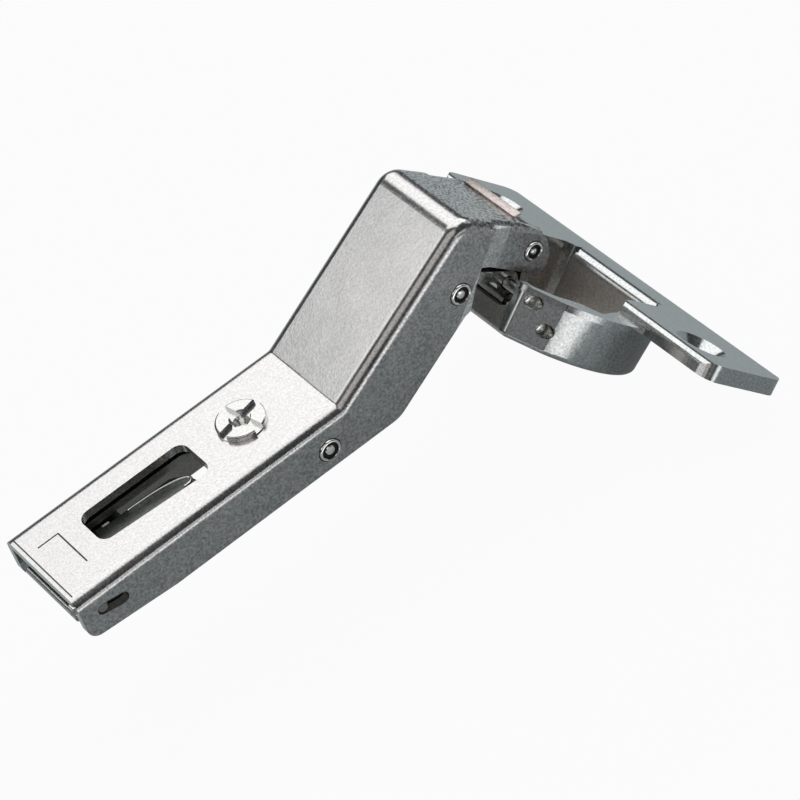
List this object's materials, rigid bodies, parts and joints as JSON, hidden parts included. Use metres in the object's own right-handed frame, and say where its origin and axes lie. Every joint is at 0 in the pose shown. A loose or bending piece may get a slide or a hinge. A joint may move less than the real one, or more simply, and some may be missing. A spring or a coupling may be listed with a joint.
{
  "type": "angled cabinet hinge",
  "caption": "Clip-on concealed cabinet hinge with a cranked arm for angled doors, linked to a flanged cup, shown fully open.",
  "frame": {"origin": "middle of the clip seat, on the mid-plane at the arm's rear end", "axes": "+X forward along the arm, +Z away from the seat, pivot axes along Y"},
  "size_m": [0.0967, 0.0608, 0.0421],
  "materials": {
    "arm_nickel": "nickel plated, satin",
    "channel_steel": "plated pressed steel",
    "pin_steel": "plain steel",
    "spring_steel": "oiled spring wire",
    "lever_steel": "plated pressed steel",
    "screw_steel": "nickel plated, bright",
    "rivet_steel": "nickel plated, bright",
    "link_steel": "nickel plated, satin",
    "cup_nickel": "nickel plated, bright"
  },
  "bodies": {
    "carrier": {"clip_channel": "channel_steel", "rear_pin": "pin_steel", "latch_pin": "pin_steel", "latch_spring": "spring_steel"},
    "lever": {"release_lever": "lever_steel"},
    "arm": {"hinge_arm": "arm_nickel", "stop_rivet": "rivet_steel", "rear_arm_pin": "rivet_steel", "front_arm_pin": "rivet_steel"},
    "screw": {"side_adjust_screw": "screw_steel"},
    "front_bar": {"front_link": "link_steel"},
    "cup": {"hinge_cup": "cup_nickel", "upper_cup_pin": "pin_steel", "lower_cup_pin": "pin_steel", "closing_spring_right": "spring_steel", "closing_spring_left": "spring_steel"},
    "rear_bar": {"rear_link": "link_steel"}
  },
  "joints": [
    {"name": "arm_tip", "type": "hinge", "parent": "carrier", "child": "arm", "pos_m": [0.0033, 0, 0.0048], "axis": [0, -1, 0], "range_deg": [-1.3, 1.3]},
    {"name": "screw_turn", "type": "hinge", "parent": "arm", "child": "screw", "pos_m": [0.0332, 0, 0.0084], "axis": [0, 0, 1], "range_deg": [-330, 330]},
    {"name": "lever_press", "type": "hinge", "parent": "carrier", "child": "lever", "pos_m": [0.0108, 0, 0.0023], "axis": [0, -1, 0], "range_deg": [0, 6], "stiffness_Nm_per_rad": 0.02, "springref_deg": -28.65},
    {"name": "front_link_swing", "type": "hinge", "parent": "arm", "child": "front_bar", "pos_m": [0.07753, 0, 0.0093], "axis": [0, -1, 0], "range_deg": [0, 2]},
    {"name": "cup_swing", "type": "hinge", "parent": "front_bar", "child": "cup", "pos_m": [0.0725, 0, 0.00202], "axis": [0, -1, 0], "range_deg": [0, 93.1]},
    {"name": "rear_link_swing", "type": "hinge", "parent": "cup", "child": "rear_bar", "pos_m": [0.07321, 0, 0.00576], "axis": [0, -1, 0], "range_deg": [-125.5, 0]}
  ],
  "couplings": [
    {"joint": "screw_turn", "follows": "arm_tip", "ratio": 234.83},
    {"joint": "front_link_swing", "follows": "cup_swing", "ratio": 0.02},
    {"joint": "rear_link_swing", "follows": "cup_swing", "ratio": -1.344}
  ]
}
